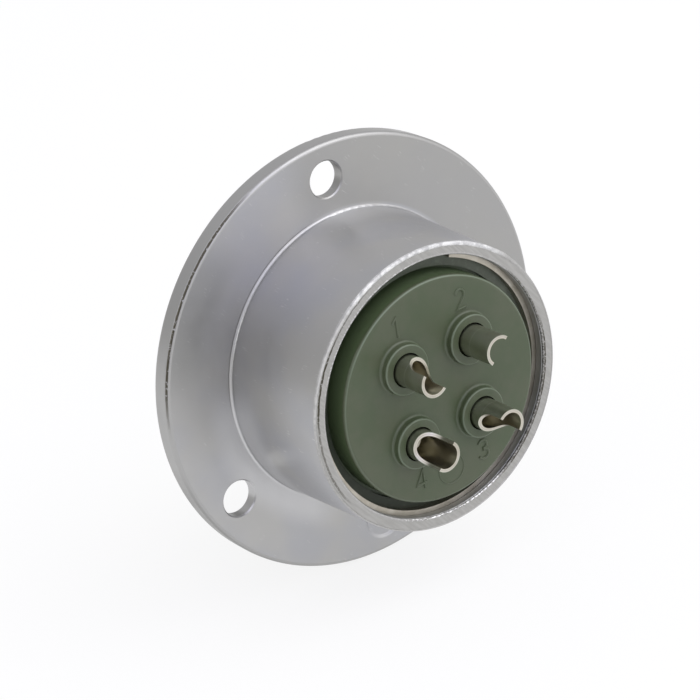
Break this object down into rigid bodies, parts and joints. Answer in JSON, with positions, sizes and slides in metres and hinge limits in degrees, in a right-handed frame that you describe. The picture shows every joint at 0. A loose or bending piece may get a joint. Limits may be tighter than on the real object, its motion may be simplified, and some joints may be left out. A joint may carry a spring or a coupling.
{
  "type": "round flange panel receptacle of an aviation connector",
  "caption": "Round-flange panel receptacle of a circular power connector, with solder cups at the back and pins inside a barrel at the front.",
  "frame": {"origin": "centre of the flange face that lies on the panel, on the connector's axis", "axes": "+Y along the connector's axis, out of the coupling barrel; solder cups face -Y; +Z towards the top flange hole and the main key"},
  "size_m": [0.052, 0.0349, 0.052],
  "materials": {
    "plated_shell": "satin nickel plating on a zinc die casting",
    "green_moulding": "semi-matt olive green moulding",
    "gasket_rubber": "black rubber",
    "washer_metal": "dark oxide",
    "ring_metal": "nickel plated spring steel",
    "contact_plating": "silver plated, slightly tarnished"
  },
  "bodies": {
    "root": {"shell": "plated_shell", "rear_insulator": "green_moulding", "front_insulator": "green_moulding", "insert_gasket": "gasket_rubber", "pressure_washer": "washer_metal", "retaining_ring": "ring_metal", "contact_1": "contact_plating", "contact_2": "contact_plating", "contact_3": "contact_plating", "contact_4": "contact_plating"}
  },
  "joints": []
}
